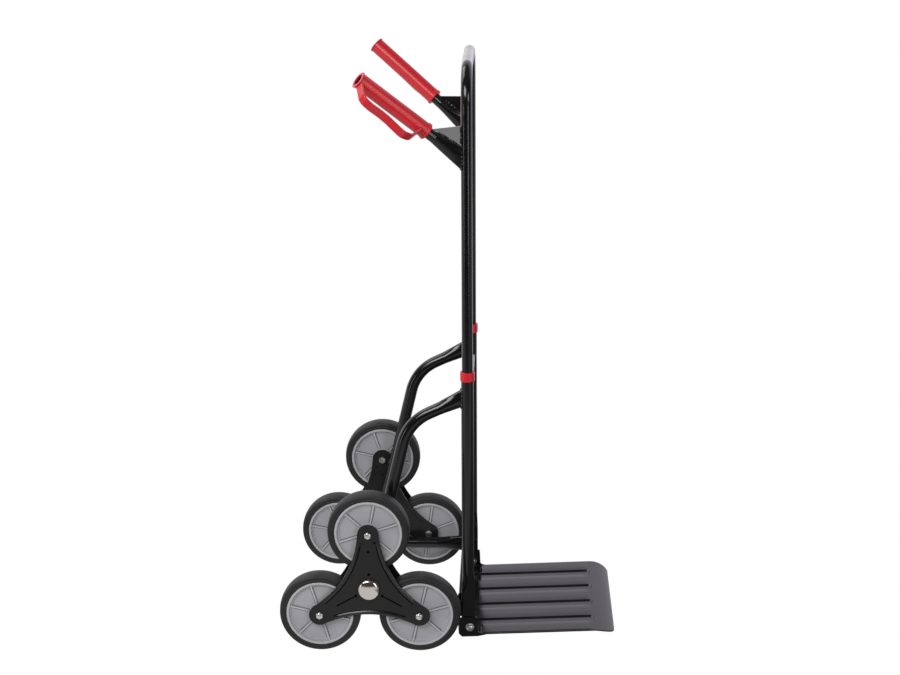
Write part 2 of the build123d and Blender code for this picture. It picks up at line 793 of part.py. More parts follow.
axle_group()
cross_tubes()
hinge_hardware()
toe_plate()
loop_tube()
slide_plugs()
for side_name, side_sign in SIDES.items():
    lower_tube(f"{side_name}_lower_tube", side_sign)
    collar(f"{side_name}_collar", side_sign)
    wheel_arm(f"{side_name}_wheel_arm", side_sign)
    handle_tube(f"{side_name}_handle_tube", side_sign)
    gusset(f"{side_name}_gusset", side_sign)
    grip(f"{side_name}_grip", side_sign)
    cluster(side_name, side_sign)
    for arm_name, angle in ARMS.items():
        wheel(f"{side_name}_{arm_name}", side_sign, angle)
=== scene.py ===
"""Studio scene of a stair-climbing hand truck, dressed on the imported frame. Metres, Z up."""

import json
import logging
import math
from dataclasses import dataclass
from enum import Enum
from functools import cached_property
from typing import Sequence

import bmesh
import bpy
from mathutils import Matrix, Vector


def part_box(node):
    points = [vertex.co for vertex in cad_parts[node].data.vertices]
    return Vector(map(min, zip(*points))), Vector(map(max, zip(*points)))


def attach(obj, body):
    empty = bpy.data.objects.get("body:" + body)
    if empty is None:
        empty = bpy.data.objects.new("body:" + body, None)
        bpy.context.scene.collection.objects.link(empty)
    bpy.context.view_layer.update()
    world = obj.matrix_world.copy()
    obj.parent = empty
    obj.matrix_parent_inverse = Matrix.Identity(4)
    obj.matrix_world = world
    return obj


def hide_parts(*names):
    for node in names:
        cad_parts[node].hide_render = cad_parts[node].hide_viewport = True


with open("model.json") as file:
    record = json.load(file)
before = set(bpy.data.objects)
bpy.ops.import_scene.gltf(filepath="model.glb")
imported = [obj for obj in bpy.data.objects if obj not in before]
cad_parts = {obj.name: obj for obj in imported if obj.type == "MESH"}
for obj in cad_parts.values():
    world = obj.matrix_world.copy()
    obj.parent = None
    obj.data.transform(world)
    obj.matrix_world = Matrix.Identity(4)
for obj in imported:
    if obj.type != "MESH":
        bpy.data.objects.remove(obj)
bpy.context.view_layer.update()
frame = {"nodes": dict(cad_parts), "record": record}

LOG = logging.getLogger("hand_truck")
MM = 0.001
UP = Vector((0.0, 0.0, 1.0))
SHARP_ANGLE = math.radians(38.0)
AXIS_GAP = 0.05 * MM  # a turned form stops this short of its axis, so that no face loses its area
Colour = tuple[float, float, float, float]
Pair = tuple[float, float]
Triple = tuple[float, float, float]
Lines = list[tuple[list[Vector], bool]]
Materials = dict[str, bpy.types.Material]
Socket = bpy.types.NodeSocket
Faces = list[bmesh.types.BMFace]


class Side(Enum):
    """The truck's two sides, with the sign of Y on each."""

    LEFT = 1
    RIGHT = -1

    @property
    def label(self) -> str:
        """Returns: the prefix that this side's nodes and bodies carry."""
        return self.name.lower()

    def outer(self, low: Sequence[float], high: Sequence[float]) -> float:
        """Args: low: A box's lowest corner. high: Its highest. Returns: the Y of its outer face on this side."""
        return high[1] if self is Side.LEFT else low[1]


class Arm(Enum):
    """The three arms of a wheel cluster, with their angles in degrees, counted from X towards Z."""

    TOP = 90
    REAR = 210
    FRONT = 330

    @property
    def label(self) -> str:
        """Returns: the word that this arm's nodes and bodies carry."""
        return self.name.lower()


class RimSkin(Enum):
    """The rim's finishes, with the material index of each; SHADE is painted shade on the rib sides and along the rib
    feet.
    """

    GREY = 0
    RING = 1
    SHADE = 2


def grey(value: float) -> Colour:
    """Args: value: Linear brightness. Returns: the neutral colour with full alpha."""
    return (value, value, value, 1.0)


def polar(angle: float) -> Vector:
    """Args: angle: Radians, counted from X towards Z. Returns: the unit vector in the wheels' plane."""
    return Vector((math.cos(angle), 0.0, math.sin(angle)))


class NodeSheet:
    """A node tree with short ways to add and join nodes."""

    def __init__(self, tree: bpy.types.NodeTree) -> None:
        """Args: tree: The tree to write in."""
        self.tree = tree

    def add(self, kind: str, **settings: object) -> bpy.types.Node:
        """Add a node.

        Args:
            kind: The node's type name without its ShaderNode prefix.
            settings: Properties of the node to set.

        Returns:
            The new node.
        """
        node = self.tree.nodes.new("ShaderNode" + kind)
        for name, value in settings.items():
            setattr(node, name, value)
        return node

    def join(self, source: Socket, target: Socket) -> None:
        """Args: source: An output. target: The input that it feeds."""
        self.tree.links.new(source, target)

    def feed(self, value: object, target: Socket) -> None:
        """Args: value: A socket or a fixed value. target: The input that it feeds."""
        if isinstance(value, Socket):
            self.join(value, target)
        else:
            target.default_value = value

    def math(self, operation: str, *values: object, clamp: bool = False) -> Socket:
        """Args: operation: Its name. values: Sockets or numbers. clamp: To 0 and 1 or not. Returns: the result."""
        node = self.add("Math", operation=operation, use_clamp=clamp)
        for value, target in zip(values, node.inputs):
            self.feed(value, target)
        return node.outputs[0]

    def noise(self, place: Socket, scale: object, detail: float) -> Socket:
        """Args: place: Where it is read. scale: Features per metre. detail: Octaves. Returns: the noise value."""
        node = self.add("TexNoise")
        self.join(place, node.inputs["Vector"])
        self.feed(scale, node.inputs["Scale"])
        node.inputs["Detail"].default_value = detail
        return node.outputs["Fac"]

    def ramp(self, value: Socket, low: float, high: float) -> Socket:
        """Args: value: Any value. low: What becomes 0. high: What becomes 1. Returns: the stretched value."""
        node = self.add("MapRange", interpolation_type="SMOOTHSTEP")
        self.join(value, node.inputs["Value"])
        node.inputs["From Min"].default_value = low
        node.inputs["From Max"].default_value = high
        return node.outputs["Result"]

    def blend(self, factor: Socket, first: object, second: object) -> Socket:
        """Args: factor: 0 for the first and 1 for the second. first, second: Colours. Returns: the mixed colour."""
        node = self.add("Mix", data_type="RGBA")
        self.join(factor, node.inputs["Factor"])
        for name, value in (("A", first), ("B", second)):
            self.feed(value, next(s for s in node.inputs if s.name == name and s.type == "RGBA"))
        return next(s for s in node.outputs if s.type == "RGBA")


class EffectGroup:
    """A shared effect: a node group that gives out masks and heights only."""

    def __init__(self, name: str, inputs: dict[str, float], outputs: Sequence[str]) -> None:
        """Args: name: The group's name. inputs: Value inputs and their defaults. outputs: Value outputs."""
        self.tree = bpy.data.node_groups.new(name, "ShaderNodeTree")
        for label, value in inputs.items():
            socket = self.tree.interface.new_socket(label, in_out="INPUT", socket_type="NodeSocketFloat")
            socket.default_value = value
        for label in outputs:
            self.tree.interface.new_socket(label, in_out="OUTPUT", socket_type="NodeSocketFloat")
        self.sheet = NodeSheet(self.tree)
        self.given = self.tree.nodes.new("NodeGroupInput").outputs
        self.wanted = self.tree.nodes.new("NodeGroupOutput").inputs

    def use(self, sheet: NodeSheet, **values: float) -> bpy.types.Node:
        """Args: sheet: A material's sheet. values: For the group's inputs. Returns: the group's node in the sheet."""
        node = sheet.add("Group", node_tree=self.tree)
        for label, value in values.items():
            node.inputs[label].default_value = value
        return node

    def give_mask(self, first: Socket, second: Socket) -> None:
        """Args: first: A mask. second: Another. Their product, scaled by the amount, is what the group gives out."""
        mask = self.sheet.math("MULTIPLY", first, second)
        self.sheet.join(self.sheet.math("MULTIPLY", mask, self.given["Amount"], clamp=True), self.wanted["Mask"])


class Effects:
    """The effects that the finishes share."""

    def __init__(self) -> None:
        """Build every group once."""
        self.grain = self._grain()
        self.dust = self._dust()
        self.scuffs = self._scuffs()

    @staticmethod
    def _grain() -> EffectGroup:
        """Returns: fine surface relief and slow tone drift, for paint and mouldings."""
        group = EffectGroup("surface_grain", {"Scale": 900.0, "Drift": 14.0}, ("Height", "Tone"))
        sheet = group.sheet
        place = sheet.add("TexCoord").outputs["Object"]
        for label, output in (("Scale", "Height"), ("Drift", "Tone")):
            sheet.join(sheet.noise(place, group.given[label], detail=2.0), group.wanted[output])
        return group

    @staticmethod
    def _dust() -> EffectGroup:
        """Returns: a patchy mask on the faces that look up."""
        group = EffectGroup("settled_dust", {"Amount": 0.3}, ("Mask",))
        sheet = group.sheet
        axes = sheet.add("SeparateXYZ")
        sheet.join(sheet.add("NewGeometry").outputs["Normal"], axes.inputs[0])
        place = sheet.add("TexCoord").outputs["Object"]
        patches = sheet.ramp(sheet.noise(place, scale=38.0, detail=5.0), low=0.35, high=0.75)
        group.give_mask(sheet.ramp(axes.outputs["Z"], low=0.35, high=1.0), patches)
        return group

    @staticmethod
    def _scuffs() -> EffectGroup:
        """Returns: sparse short scratches and rubbed patches."""
        group = EffectGroup("scuff_marks", {"Amount": 0.5, "Scale": 60.0}, ("Mask",))
        sheet = group.sheet
        place = sheet.add("TexCoord").outputs["Object"]
        stretched = sheet.add("Mapping")
        stretched.inputs["Scale"].default_value = (1.0, 4.0, 9.0)
        stretched.inputs["Rotation"].default_value = (0.3, 0.7, 0.2)
        sheet.join(place, stretched.inputs["Vector"])
        streaks = sheet.noise(stretched.outputs["Vector"], group.given["Scale"], detail=6.0)
        patches = sheet.ramp(sheet.noise(place, scale=11.0, detail=2.0), low=0.5, high=0.7)
        group.give_mask(sheet.ramp(streaks, low=0.62, high=0.72), patches)
        return group


@dataclass(frozen=True)
class Finish:
    """One procedural surface."""

    name: str
    base: Colour
    second: Colour
    roughness: float
    metallic: float = 0.0
    grain_scale: float = 900.0
    grain_depth: float = 0.00002
    dust: float = 0.15
    dust_colour: Colour = (0.32, 0.31, 0.30, 1.0)
    scuffs: float = 0.2
    scuff_colour: Colour = (0.16, 0.16, 0.165, 1.0)
    specular: float = 0.5
    scuff_wear: float = 0.25  # these three say how much scuffs, dust and slow drift add to the roughness
    dust_wear: float = 0.4
    drift_wear: float = 0.06

    def build(self, effects: Effects) -> bpy.types.Material:
        """Make the material.

        Args:
            effects: The shared node groups.

        Returns:
            The new material.
        """
        material = bpy.data.materials.new(self.name)
        material.use_nodes = True
        sheet = NodeSheet(material.node_tree)
        shader = material.node_tree.nodes["Principled BSDF"]
        grain = effects.grain.use(sheet, Scale=self.grain_scale)
        dust = effects.dust.use(sheet, Amount=self.dust)
        scuffs = effects.scuffs.use(sheet, Amount=self.scuffs)
        tone = sheet.ramp(grain.outputs["Tone"], low=0.3, high=0.7)
        colour = sheet.blend(tone, self.base, self.second)
        colour = sheet.blend(scuffs.outputs["Mask"], colour, self.scuff_colour)
        colour = sheet.blend(dust.outputs["Mask"], colour, self.dust_colour)
        sheet.join(colour, shader.inputs["Base Color"])
        rough = sheet.math("MULTIPLY_ADD", scuffs.outputs["Mask"], self.scuff_wear, self.roughness)
        rough = sheet.math("MULTIPLY_ADD", dust.outputs["Mask"], self.dust_wear, rough)
        rough = sheet.math("MULTIPLY_ADD", tone, self.drift_wear, rough)
        sheet.join(rough, shader.inputs["Roughness"])
        bump = sheet.add("Bump")
        bump.inputs["Distance"].default_value = self.grain_depth
        sheet.join(grain.outputs["Height"], bump.inputs["Height"])
        sheet.join(bump.outputs["Normal"], shader.inputs["Normal"])
        shader.inputs["Metallic"].default_value = self.metallic
        shader.inputs["Specular IOR Level"].default_value = self.specular
        return material


FINISHES = {
    "frame_paint": Finish("gloss_black_paint", grey(0.0045), grey(0.006), 0.12, grain_scale=700.0,
                          grain_depth=0.0000005, dust=0.02, scuffs=0.03),
    "spider_paint": Finish("satin_black_paint", grey(0.008), grey(0.011), 0.30, grain_scale=700.0,
                           grain_depth=0.000004, dust=0.04, scuffs=0.05, specular=0.34),
    "lip_paint": Finish("worn_black_paint", grey(0.008), grey(0.011), 0.17, grain_scale=700.0,
                        grain_depth=0.000002, dust=0.04, scuffs=0.05),
    # bead_shade: near-black, painted shade laid in the bead grooves, the creases and round the small holes
    "bead_shade": Finish("painted_shade_black", grey(0.0012), grey(0.002), 0.75, grain_depth=0.000004, dust=0.01,
                         scuffs=0.02, specular=0.05),
    "bright_steel": Finish("zinc_plate", grey(0.70), (0.74, 0.74, 0.71, 1.0), 0.26, metallic=1.0, dust=0.04,
                           grain_depth=0.000004),
    # chrome: the warm tint is a painted reflection of a warm floor on the polished metal
    "chrome": Finish("polished_chrome", (0.84, 0.77, 0.72, 1.0), (0.80, 0.73, 0.68, 1.0), 0.07, metallic=1.0,
                     dust=0.03, scuffs=0.04, grain_depth=0.000001),
    "red_grip": Finish("red_moulding", (0.62, 0.017, 0.025, 1.0), (0.67, 0.020, 0.029, 1.0), 0.29, dust=0.02,
                       scuffs=0.03, scuff_colour=(0.80, 0.08, 0.09, 1.0), grain_scale=500.0, grain_depth=0.0000005),
    "red_collar": Finish("red_gloss_moulding", (0.68, 0.013, 0.024, 1.0), (0.73, 0.017, 0.028, 1.0), 0.24, dust=0.03,
                         scuffs=0.08, scuff_colour=(0.80, 0.08, 0.09, 1.0), grain_scale=500.0, grain_depth=0.000001),
    "rim_grey": Finish("grey_moulding", (0.34, 0.34, 0.362, 1.0), (0.39, 0.39, 0.412, 1.0), 0.42, dust=0.06,
                       scuffs=0.12, scuff_colour=grey(0.50), grain_scale=600.0, grain_depth=0.000006),
    "rim_ring": Finish("pale_grey_moulding", (0.43, 0.43, 0.45, 1.0), (0.48, 0.48, 0.50, 1.0), 0.36, dust=0.06,
                       scuffs=0.12, scuff_colour=grey(0.68), grain_scale=600.0, grain_depth=0.000006),
    # rim_shade: dark grey, painted shade on the rib sides and in thin strips along the rib feet
    "rim_shade": Finish("painted_shade_grey", (0.15, 0.15, 0.16, 1.0), (0.18, 0.18, 0.19, 1.0), 0.5, dust=0.04,
                        grain_depth=0.000006),
    "tyre_rubber": Finish("charcoal_rubber", grey(0.014), grey(0.019), 0.52, grain_depth=0.00003, dust=0.10,
                          scuff_colour=grey(0.05), specular=0.35),
    "nylon": Finish("black_nylon", grey(0.02), grey(0.03), 0.5),
}


@dataclass(frozen=True)
class SoftBox:
    """One soft studio light: where it hangs, what it faces, its width and height, and its power in watts."""

    name: str
    place: Triple
    aim: Triple
    size: Pair
    power: float

    def build(self) -> None:
        """Hang the light and turn it to its aim."""
        data = bpy.data.lights.new(self.name, "AREA")
        data.shape = "RECTANGLE"
        data.size, data.size_y = self.size
        data.energy = self.power
        light = bpy.data.objects.new(self.name, data)
        light.location = self.place
        light.rotation_euler = (Vector(self.aim) - Vector(self.place)).to_track_quat("-Z", "Y").to_euler()
        bpy.context.scene.collection.objects.link(light)


SOFT_BOXES = (
    SoftBox("key", (-1.7, -2.8, 3.0), (0.0, 0.0, 0.4), (2.8, 1.5), 104.0),
    SoftBox("fill", (2.6, -2.9, 2.0), (0.0, 0.0, 0.5), (1.6, 1.2), 29.0),
    SoftBox("top", (-1.7, 0.9, 3.0), (0.0, 0.0, 0.6), (1.8, 1.8), 26.0),
    SoftBox("right_strip", (1.75, -2.65, 0.52), (0.0, -0.2, 0.52), (0.5, 1.0), 8.0),
    SoftBox("left_strip", (-2.55, -1.75, 0.52), (0.0, -0.2, 0.52), (0.4, 1.0), 5.0),
)


@dataclass
class Studio:
    """Floor, surround, lights and camera. The tones are what the truck's paint reflects; the camera sees white."""

    camera_place: Triple = (0.1210, -3.4836, 1.6341)
    camera_pitch: float = 16.864
    camera_yaw: float = 1.985
    camera_roll: float = -0.366
    lens: float = 73.217
    sensor: float = 36.0
    floor_half: float = 30.0
    seen: Colour = grey(1.0)
    backdrop: Colour = (0.86, 0.81, 0.93, 1.0)
    horizon: Colour = (1.28, 1.25, 1.32, 1.0)
    horizon_band: Pair = (0.12, 0.28)
    room: Colour = grey(0.05)
    room_band: Pair = (-0.15, 0.45)
    ceiling: Colour = grey(0.12)
    ceiling_band: Pair = (0.55, 0.9)
    floor_front: Colour = grey(0.03)
    floor_middle: Colour = grey(0.62)
    front_sweep: Pair = (-2.4, -0.8)
    rear_sweep: Pair = (0.2, 1.6)
    # foot_shade: a painted shadow of the truck on the floor in front of its foot, seen only in reflections
    foot_shade: Colour = grey(0.14)
    foot_shade_x: Pair = (-0.03, 0.03)
    foot_shade_y: Pair = (-0.85, -0.5)

    def build(self) -> None:
        """Make everything that is not the truck."""
        self._camera()
        self._floor()
        self._world()
        for box in SOFT_BOXES:
            box.build()
        bpy.context.scene.view_settings.view_transform = "Standard"

    def _camera(self) -> None:
        """Place the camera at the photo's viewing angle."""
        data = bpy.data.cameras.new("camera")
        data.lens = self.lens
        data.sensor_width = self.sensor
        camera = bpy.data.objects.new("camera", data)
        turns = ((self.camera_yaw, "Z"), (90.0 - self.camera_pitch, "X"), (self.camera_roll, "Z"))
        place = Matrix.Translation(self.camera_place)
        for angle, axis in turns:
            place = place @ Matrix.Rotation(math.radians(angle), 4, axis)
        camera.matrix_world = place
        bpy.context.scene.collection.objects.link(camera)
        bpy.context.scene.camera = camera

    def _floor(self) -> None:
        """A pale floor that looks white to the camera, and that lights the truck only near it and behind it, with a
        painted shadow of the truck in front of its foot.
        """
        mesh = bpy.data.meshes.new("floor")
        corners = [(x * self.floor_half, y * self.floor_half, 0.0) for x, y in ((-1, -1), (1, -1), (1, 1), (-1, 1))]
        mesh.from_pydata(corners, [], [(0, 1, 2, 3)])
        floor = bpy.data.objects.new("floor", mesh)
        bpy.context.scene.collection.objects.link(floor)
        material = bpy.data.materials.new("pale_floor")
        material.use_nodes = True
        sheet = NodeSheet(material.node_tree)
        shader = material.node_tree.nodes["Principled BSDF"]
        axes = sheet.add("SeparateXYZ")
        sheet.join(sheet.add("TexCoord").outputs["Object"], axes.inputs[0])
        tone = sheet.blend(sheet.ramp(axes.outputs["Y"], *self.front_sweep), self.floor_front, self.floor_middle)
        # painted shadow of the truck in front of its foot
        shade = sheet.math("MULTIPLY", sheet.ramp(axes.outputs["X"], *self.foot_shade_x),
                           sheet.ramp(axes.outputs["Y"], *self.foot_shade_y))
        tone = sheet.blend(shade, tone, self.foot_shade)
        tone = sheet.blend(sheet.ramp(axes.outputs["Y"], *self.rear_sweep), tone, self.backdrop)
        tone = sheet.blend(sheet.add("LightPath").outputs["Is Camera Ray"], tone, self.seen)
        sheet.join(tone, shader.inputs["Emission Color"])
        shader.inputs["Base Color"].default_value = grey(0.0)
        shader.inputs["Specular IOR Level"].default_value = 0.0
        shader.inputs["Emission Strength"].default_value = 1.0
        mesh.materials.append(material)

    def _world(self) -> None:
        """A bright backdrop behind the truck and a dark room in front of it."""
        world = bpy.data.worlds.new("surround")
        bpy.context.scene.world = world
        world.use_nodes = True
        sheet = NodeSheet(world.node_tree)
        axes = sheet.add("SeparateXYZ")
        sheet.join(sheet.add("TexCoord").outputs["Generated"], axes.inputs[0])
        wall = sheet.blend(sheet.ramp(axes.outputs["Z"], *self.horizon_band), self.horizon, self.backdrop)
        tone = sheet.blend(sheet.ramp(axes.outputs["Y"], *self.room_band), self.room, wall)
        tone = sheet.blend(sheet.ramp(axes.outputs["Z"], *self.ceiling_band), tone, self.ceiling)
        tone = sheet.blend(sheet.add("LightPath").outputs["Is Camera Ray"], tone, self.seen)
        background = world.node_tree.nodes["Background"]
        sheet.join(tone, background.inputs["Color"])
        background.inputs["Strength"].default_value = 1.0


def dress_nodes(materials: Materials) -> None:
    """Give every CAD node the finish of its slot.

    Args:
        materials: The materials by slot.
    """
    for entry in frame["record"]["subparts"]:
        node = frame["nodes"][entry["node"]]
        material = materials[entry["material_slot"]]
        for slot in node.material_slots:
            slot.material = material
        LOG.info("dressed %s with %s", entry["node"], material.name)


def round_corners(corners: Sequence[Triple], steps: int) -> list[Pair]:
    """Round the corners of a closed outline.

    Args:
        corners: Points with the radius to round each one by.
        steps: Points on each round corner, less one.

    Returns:
        The rounded outline's points.
    """
    outline: list[Pair] = []
    count = len(corners)
    for index, (x, y, radius) in enumerate(corners):
        here = Vector((x, y))
        if radius <= 0.0:
            outline.append((x, y))
            continue
        before = (Vector(corners[index - 1][:2]) - here).normalized()
        after = (Vector(corners[(index + 1) % count][:2]) - here).normalized()
        half = before.angle(after) / 2
        reach = radius / math.tan(half)
        centre = here + (before + after).normalized() * (radius / math.sin(half))
        start = here + before * reach - centre
        turn = start.angle_signed(here + after * reach - centre)
        for step in range(steps + 1):
            spoke = start.copy()
            spoke.rotate(Matrix.Rotation(-turn * step / steps, 2))
            outline.append(tuple(centre + spoke))
    return outline


class Shape:
    """A mesh in the making, in the row frame."""

    def __init__(self) -> None:
        """Start with no faces."""
        self.bm = bmesh.new()

    def join(self, sections: Sequence[Sequence[Vector]], closed: bool = False) -> Faces:
        """Join sections that are closed outlines into a solid.

        Args:
            sections: The sections in order, each with the same number of points.
            closed: Whether the last one joins the first; otherwise both ends are filled.

        Returns:
            The new faces.
        """
        rings = [[self.bm.verts.new(point) for point in section] for section in sections]
        faces = [] if closed else [self.bm.faces.new(rings[0]), self.bm.faces.new(rings[-1][::-1])]
        count = len(rings[0])
        for here, there in zip(rings, rings[1:] + rings[:1] if closed else rings[1:]):
            for corner in range(count):
                after = (corner + 1) % count
                faces.append(self.bm.faces.new((here[corner], here[after], there[after], there[corner])))
        return faces

    def lathe(self, outline: Sequence[Pair], centre: Vector, segments: int, way: int = 1) -> Faces:
        """Turn a closed outline about a line along Y.

        Args:
            outline: Points as radius and offset along the line.
            centre: A point on the line, where the offset is 0.
            segments: Steps round the turn.
            way: The sign of Y that the offset counts towards.

        Returns:
            The new faces, one per side of the outline, step by step round the turn.
        """
        sections = []
        for step in range(segments):
            spoke = polar(2 * math.pi * step / segments)
            sections.append([centre + spoke * radius + Vector((0.0, offset * way, 0.0))
                             for radius, offset in outline])
        return self.join(sections, closed=True)

    def dome(self, spot: Vector, side: Side, radius: float, height: float) -> None:
        """Add the round crown of a bolt's head.

        Args:
            spot: The middle of the head's flat face.
            side: The side of the truck that the head faces.
            radius: The crown's radius.
            height: How far it stands out.
        """
        root, lift = -0.4 * MM, 0.02 * MM
        steps, segments = 8, 32
        outline = [(AXIS_GAP, root), (radius, root)]
        for step in range(steps + 1):
            turn = math.pi / 2 * step / steps
            outline.append((max(AXIS_GAP, radius * math.cos(turn)), height * math.sin(turn) + lift))
        self.lathe(outline, spot, segments, side.value)


@dataclass
class Detail:
    """A group of pieces that the scene adds to the solids."""

    materials: Materials

    def add(self, name: str, shape: Shape, body: str, slot: str, looks: Sequence[str] = (),
            stands_for: Sequence[str] = ()) -> None:
        """Turn a finished shape into a piece that moves with a body.

        Args:
            name: The piece's name.
            shape: Its faces, which are freed here.
            body: The body that it rides on.
            slot: The record's slot that it takes its finish from.
            looks: Its finishes by material index, if the slot's own isn't the only one.
            stands_for: The CAD nodes that it replaces.
        """
        bmesh.ops.recalc_face_normals(shape.bm, faces=shape.bm.faces)
        mesh = bpy.data.meshes.new(name)
        shape.bm.to_mesh(mesh)
        shape.bm.free()
        for look in looks or (slot,):
            mesh.materials.append(self.materials[look])
        mesh.shade_smooth()
        mesh.set_sharp_from_angle(angle=SHARP_ANGLE)
        piece = bpy.data.objects.new(name, mesh)
        bpy.context.scene.collection.objects.link(piece)
        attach(piece, body)
        if stands_for:
            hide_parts(*stands_for)
        LOG.info("built %s on %s with %d faces", name, body, len(mesh.polygons))


@dataclass
class Wheel(Detail):
    """One wheel of a cluster: ribbed rim and rubber tyre, as the CAD sizes give them, with moulded edges."""

    side: Side
    arm: Arm
    rib_turn: float
    tyre_radius: float = 80.0 * MM
    tyre_half: float = 18.0 * MM
    rim_half: float = 17.7 * MM
    rim_lip: float = 65.7 * MM
    seat: float = 62.5 * MM
    seat_half: float = 13.5 * MM
    ring_inner: float = 61.0 * MM
    dish_rim: float = 12.0 * MM
    dish_hub: float = 13.5 * MM
    boss: float = 20.0 * MM
    boss_half: float = 18.0 * MM
    bore: float = 9.0 * MM
    ribs: int = 6
    rib_half: float = 15.2 * MM
    rib_width: float = 3.6 * MM
    rib_round: float = 0.9 * MM
    rib_root: float = 1.0 * MM
    rib_overlap: float = 0.5 * MM
    rib_top: float = 0.7
    # the line sizes are for thin strips of painted shade along the feet of each rib
    line_width: float = 0.9 * MM
    line_gap: float = 0.9 * MM
    line_depths: Pair = (-0.6 * MM, 0.08 * MM)
    step_width: float = 4.6 * MM
    step_height: float = 1.3 * MM
    draft: float = 0.8 * MM
    wall_inset: float = 0.6 * MM
    wall_ring: Pair = (1.6 * MM, 4.4 * MM)
    tread_half: float = 4.0 * MM
    tread_drop: float = 1.4 * MM
    segments: int = 120

    @property
    def name(self) -> str:
        """Returns: the prefix of the wheel's nodes."""
        return f"{self.side.label}_{self.arm.label}"

    @cached_property
    def centre(self) -> Vector:
        """Returns: the middle of the wheel, from its tyre's box."""
        low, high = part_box(f"{self.name}_tyre")
        return (Vector(low) + Vector(high)) / 2

    def build(self) -> None:
        """Make the tyre and the rim."""
        self._tyre()
        self._rim()

    def _tyre(self) -> None:
        """Make the tyre, with a raised ring on each wall."""
        wall = self.tyre_half - self.wall_inset
        ring_start, ring_end = (self.rim_lip + reach for reach in self.wall_ring)
        outline = self._mirrored([
            (self.seat, self.seat_half, 0.0),
            (self.rim_lip, self.seat_half, 0.0),
            (self.rim_lip, wall, 0.4 * MM),
            (ring_start, self.tyre_half, 0.5 * MM),
            (ring_end, self.tyre_half, 0.4 * MM),
            (ring_end + 0.6 * MM, self.tyre_half - 0.5 * MM, 0.2 * MM),
            (self.tyre_radius - self.tread_drop, wall, 6.0 * MM),
            (self.tyre_radius, self.tread_half, 3.0 * MM),
        ], steps=6)
        shape = Shape()
        shape.lathe(outline, self.centre, self.segments)
        self.add(f"{self.name}_tyre_skin", shape, f"{self.name}_wheel", "tyre_rubber",
                 stands_for=[f"{self.name}_tyre"])

    def _rim(self) -> None:
        """Make the rim: a boss, a dish with a step, a pale ring and the ribs."""
        step_start, step_level = self.ring_inner - self.step_width, self.dish_rim + self.step_height
        outline = self._mirrored([
            (self.bore, self.boss_half, 0.0),
            (self.boss, self.boss_half, 1.2 * MM),
            (self.boss + self.draft, self.dish_hub, 0.8 * MM),
            (step_start - self.draft, self.dish_rim, 0.8 * MM),
            (step_start, step_level, 0.4 * MM),
            (self.ring_inner - self.draft, step_level, 0.8 * MM),
            (self.ring_inner, self.rim_half, 1.0 * MM),
            (self.rim_lip, self.rim_half, 1.0 * MM),
            (self.rim_lip, self.seat_half, 0.0),
            (self.seat, self.seat_half, 0.0),
        ], steps=4)
        shape = Shape()
        ring_start = self.ring_inner - 0.3 * MM
        for index, face in enumerate(shape.lathe(outline, self.centre, self.segments)):
            corner = index % len(outline)
            middle = (outline[corner][0] + outline[corner - len(outline) + 1][0]) / 2
            face.material_index = (RimSkin.RING if middle > ring_start else RimSkin.GREY).value
        for step in range(self.ribs):
            self._rib(shape, math.radians(self.rib_turn + 360.0 / self.ribs * step))
        looks = [f"rim_{skin.name.lower()}" for skin in RimSkin]
        self.add(f"{self.name}_rim_skin", shape, f"{self.name}_wheel", "rim_grey", looks, [f"{self.name}_rim"])

    @staticmethod
    def _mirrored(corners: list[Triple], steps: int) -> list[Pair]:
        """Args: corners: One half's radii, offsets and roundings. steps: Per rounding. Returns: both halves."""
        return round_corners(corners + [(radius, -offset, bend) for radius, offset, bend in reversed(corners)], steps)

    def _rib(self, shape: Shape, angle: float) -> None:
        """Args: shape: The rim, which gets a rib with painted shade on its sides and dark lines of painted shade at
        its feet on both faces. angle: As in polar.
        """
        half = self.rib_width / 2
        foot, base = half + self.draft, self.dish_rim - self.rib_root
        corners = [(-foot, base, 0.0), (-half, self.rib_half, self.rib_round), (half, self.rib_half, self.rib_round),
                   (foot, base, 0.0)]
        profile = round_corners(corners, steps=3)
        low, high = self.line_depths
        edge = foot + self.line_width
        line = ((half, low), (edge, low), (edge, high), (half, high))
        line_ends = ((self.boss + self.line_gap, self.dish_hub),
                     (self.ring_inner - self.step_width - self.line_gap, self.dish_rim))
        for way in (1.0, -1.0):
            outline = [(across, way * height) for across, height in profile]
            ends = (self.boss - self.rib_overlap, self.ring_inner)
            # each rib's sides take painted shade; its outward faces take the ring's pale finish
            for face in shape.join([self._section(angle, radius, outline) for radius in ends]):
                face.normal_update()
                face.material_index = (RimSkin.RING if abs(face.normal.y) > self.rib_top else RimSkin.SHADE).value
            # thin strips of painted shade along both feet of the rib
            for turn in (1.0, -1.0):
                sections = []
                for radius, level in line_ends:
                    outline = [(turn * across, way * (level + height)) for across, height in line]
                    sections.append(self._section(angle, radius, outline))
                for face in shape.join(sections):
                    face.material_index = RimSkin.SHADE.value

    def _section(self, angle: float, radius: float, outline: Sequence[Pair]) -> list[Vector]:
        """Args: angle: A rib's. radius: How far out. outline: Points across it and along Y. Returns: their places."""
        spot, side_way = self.centre + polar(angle) * radius, polar(angle + math.pi / 2)
        return [spot + side_way * across + Vector((0.0, offset, 0.0)) for across, offset in outline]


